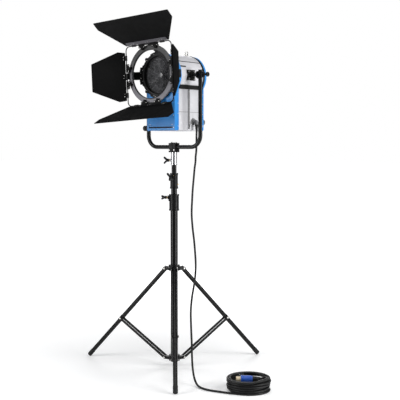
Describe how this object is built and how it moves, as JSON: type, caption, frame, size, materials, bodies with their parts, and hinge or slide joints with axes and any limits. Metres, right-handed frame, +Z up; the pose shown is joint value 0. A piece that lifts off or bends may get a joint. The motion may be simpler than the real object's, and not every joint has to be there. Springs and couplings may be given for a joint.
{
  "type": "fresnel spotlight",
  "caption": "Fresnel spotlight with a stepped lens in a hinged door, four-leaf barndoors, tilting yoke, folding telescopic stand and a coiled lead with its connector.",
  "frame": {"origin": "on the floor, on the axis of the stand's column", "axes": "+Z up along the column; the lens faces -Y; +X points to the side with the cable gland and the tilt knob"},
  "size_m": [1.4237, 1.0939, 2.1016],
  "materials": {
    "stand_black": "semi-gloss black powder coat",
    "foot_rubber": "black moulded rubber",
    "bright_steel": "bright plated steel",
    "knob_plastic": "black moulded plastic",
    "yoke_black": "semi-gloss black paint",
    "head_black": "aluminium with a satin black coat",
    "head_blue": "aluminium with a blue coat",
    "shell_silver": "aluminium with a fine silver coat",
    "trim_grey": "grey coated aluminium",
    "ring_grey": "dark grey coated aluminium",
    "leaf_black": "aluminium sheet with a matt black heat-proof coat",
    "rubber_black": "black rubber strip",
    "lens_glass": "clear pressed glass, pebbled at the back",
    "bulb_glass": "clear quartz",
    "mirror": "polished aluminium",
    "ceramic": "white ceramic",
    "inner_metal": "grey sheet",
    "belt": "drive cord and idler",
    "gland_grey": "dark grey moulded plastic",
    "cable_rubber": "black rubber sheath",
    "plug_blue": "blue moulded plastic with a brass collar"
  },
  "bodies": {
    "stand_base": {"column_tube": "stand_black", "brace_collar": "stand_black", "lower_clamp": "stand_black", "cable_floor": "cable_rubber", "cable_coil": "cable_rubber", "connector": "plug_blue"},
    "leg_collar": {"leg_collar": "stand_black"},
    "leg_1": {"leg_1": "stand_black", "foot_1": "foot_rubber"},
    "leg_2": {"leg_2": "stand_black", "foot_2": "foot_rubber"},
    "leg_3": {"leg_3": "stand_black", "foot_3": "foot_rubber"},
    "brace_1": {"brace_1": "stand_black"},
    "brace_2": {"brace_2": "stand_black"},
    "brace_3": {"brace_3": "stand_black"},
    "mid_riser": {"mid_riser_tube": "stand_black", "upper_clamp": "stand_black"},
    "top_riser": {"top_riser_tube": "stand_black", "receiver": "bright_steel"},
    "lower_knob": {"lower_knob": "knob_plastic"},
    "upper_knob": {"upper_knob": "knob_plastic"},
    "receiver_knob": {"receiver_knob": "knob_plastic"},
    "yoke": {"yoke_tube": "yoke_black", "saddle": "yoke_black", "spigot": "bright_steel", "cable_yoke": "cable_rubber"},
    "head": {"pivot_boss_left": "head_black", "pivot_boss_right": "head_black", "front_frame": "head_blue", "front_baffle": "head_black", "housing_shell": "shell_silver", "shell_trim": "trim_grey", "rubber_trim": "rubber_black", "rear_cover": "head_blue", "rear_knob": "knob_plastic", "safety_eye": "bright_steel", "guide_rods": "bright_steel", "focus_belt": "belt", "door_hinge": "head_black", "cable_gland": "gland_grey", "cable_head": "cable_rubber"},
    "tilt_knob": {"tilt_knob": "knob_plastic"},
    "focus_knob": {"focus_knob": "knob_plastic"},
    "lamp_carriage": {"lamp_carriage": "inner_metal", "lamp_socket": "ceramic", "lamp_bulb": "bulb_glass", "reflector": "mirror"},
    "lens_door": {"lens_door": "head_black", "fresnel_lens": "lens_glass", "lens_retainer": "trim_grey", "accessory_brackets": "head_black"},
    "door_latch": {"door_latch": "head_black"},
    "top_latch": {"top_latch": "head_black"},
    "barndoor": {"barndoor_ring": "ring_grey", "barndoor_frame": "head_black"},
    "leaf_top": {"leaf_top": "leaf_black"},
    "leaf_right": {"leaf_right": "leaf_black"},
    "leaf_bottom": {"leaf_bottom": "leaf_black"},
    "leaf_left": {"leaf_left": "leaf_black"}
  },
  "joints": [
    {"name": "leg_fold", "type": "slide", "parent": "stand_base", "child": "leg_collar", "axis": [0, 0, 1], "range_m": [0, 0.3001]},
    {"name": "leg_1_hinge", "type": "hinge", "parent": "leg_collar", "child": "leg_1", "pos_m": [0.03897, -0.04562, 0.604], "axis": [0.7604, 0.6494, 0], "range_deg": [0, 43.71]},
    {"name": "brace_1_hinge", "type": "hinge", "parent": "stand_base", "child": "brace_1", "pos_m": [0.03962, -0.04638, 0.054], "axis": [-0.7604, -0.6494, 0], "range_deg": [0, 56.28]},
    {"name": "leg_2_hinge", "type": "hinge", "parent": "leg_collar", "child": "leg_2", "pos_m": [0.02003, 0.05656, 0.604], "axis": [-0.9426, 0.3338, 0], "range_deg": [0, 43.71]},
    {"name": "brace_2_hinge", "type": "hinge", "parent": "stand_base", "child": "brace_2", "pos_m": [0.02036, 0.0575, 0.054], "axis": [0.9426, -0.3338, 0], "range_deg": [0, 56.28]},
    {"name": "leg_3_hinge", "type": "hinge", "parent": "leg_collar", "child": "leg_3", "pos_m": [-0.059, -0.01093, 0.604], "axis": [0.1822, -0.9833, 0], "range_deg": [0, 43.71]},
    {"name": "brace_3_hinge", "type": "hinge", "parent": "stand_base", "child": "brace_3", "pos_m": [-0.05998, -0.01112, 0.054], "axis": [-0.1822, 0.9833, 0], "range_deg": [0, 56.28]},
    {"name": "mid_riser_slide", "type": "slide", "parent": "stand_base", "child": "mid_riser", "axis": [0, 0, 1], "range_m": [0, 0.7]},
    {"name": "top_riser_slide", "type": "slide", "parent": "mid_riser", "child": "top_riser", "axis": [0, 0, 1], "range_m": [0, 0.7]},
    {"name": "lower_knob_turn", "type": "hinge", "parent": "stand_base", "child": "lower_knob", "pos_m": [0, 0, 1.041], "axis": [-0.766, -0.6428, 0], "range_deg": [0, 360]},
    {"name": "upper_knob_turn", "type": "hinge", "parent": "mid_riser", "child": "upper_knob", "pos_m": [0, 0, 1.167], "axis": [0.1736, -0.9848, 0], "range_deg": [0, 360]},
    {"name": "receiver_knob_turn", "type": "hinge", "parent": "top_riser", "child": "receiver_knob", "pos_m": [0, 0, 1.266], "axis": [-0.766, -0.6428, 0], "range_deg": [0, 360]},
    {"name": "pan", "type": "hinge", "parent": "top_riser", "child": "yoke", "pos_m": [0, 0, 1.3143], "axis": [0, 0, 1], "continuous": true},
    {"name": "tilt", "type": "hinge", "parent": "yoke", "child": "head", "pos_m": [0, 0, 1.771], "axis": [-1, 0, 0], "range_deg": [-20, 90]},
    {"name": "tilt_knob_turn", "type": "hinge", "parent": "head", "child": "tilt_knob", "pos_m": [0.229, 0, 1.771], "axis": [1, 0, 0], "range_deg": [0, 360]},
    {"name": "lamp_focus", "type": "slide", "parent": "head", "child": "lamp_carriage", "axis": [0, 1, 0], "range_m": [-0.0449, 0.0449]},
    {"name": "focus_turn", "type": "hinge", "parent": "head", "child": "focus_knob", "pos_m": [0, -0.1, 1.458], "axis": [1, 0, 0], "range_deg": [-322, 322]},
    {"name": "door_swing", "type": "hinge", "parent": "head", "child": "lens_door", "pos_m": [-0.147, -0.131, 1.771], "axis": [0, 0, -1], "range_deg": [0, 100]},
    {"name": "door_latch_turn", "type": "hinge", "parent": "lens_door", "child": "door_latch", "pos_m": [0.11227, -0.149, 1.7138], "axis": [0, 1, 0], "range_deg": [0, 90]},
    {"name": "top_latch_lift", "type": "hinge", "parent": "lens_door", "child": "top_latch", "pos_m": [0, -0.155, 1.927], "axis": [-1, 0, 0], "range_deg": [0, 60]},
    {"name": "barndoor_turn", "type": "hinge", "parent": "lens_door", "child": "barndoor", "pos_m": [0, -0.207, 1.771], "axis": [0, 1, 0], "continuous": true},
    {"name": "leaf_top_hinge", "type": "hinge", "parent": "barndoor", "child": "leaf_top", "pos_m": [-0.00921, -0.223, 1.94676], "axis": [0.9986, 0, 0.0523], "range_deg": [-53, 74]},
    {"name": "leaf_right_hinge", "type": "hinge", "parent": "barndoor", "child": "leaf_right", "pos_m": [0.17576, -0.223, 1.78021], "axis": [0.0523, 0, -0.9986], "range_deg": [-45, 105]},
    {"name": "leaf_bottom_hinge", "type": "hinge", "parent": "barndoor", "child": "leaf_bottom", "pos_m": [0.00921, -0.223, 1.59524], "axis": [-0.9986, 0, -0.0523], "range_deg": [-22, 60]},
    {"name": "leaf_left_hinge", "type": "hinge", "parent": "barndoor", "child": "leaf_left", "pos_m": [-0.17576, -0.223, 1.76179], "axis": [-0.0523, 0, 0.9986], "range_deg": [-45, 105]}
  ],
  "couplings": [
    {"joint": "leg_1_hinge", "follows": "leg_fold", "rad_per_m": 2.5418},
    {"joint": "brace_1_hinge", "follows": "leg_fold", "rad_per_m": 3.2726},
    {"joint": "leg_2_hinge", "follows": "leg_fold", "rad_per_m": 2.5418},
    {"joint": "brace_2_hinge", "follows": "leg_fold", "rad_per_m": 3.2726},
    {"joint": "leg_3_hinge", "follows": "leg_fold", "rad_per_m": 2.5418},
    {"joint": "brace_3_hinge", "follows": "leg_fold", "rad_per_m": 3.2726},
    {"joint": "focus_turn", "follows": "lamp_focus", "rad_per_m": -125}
  ]
}
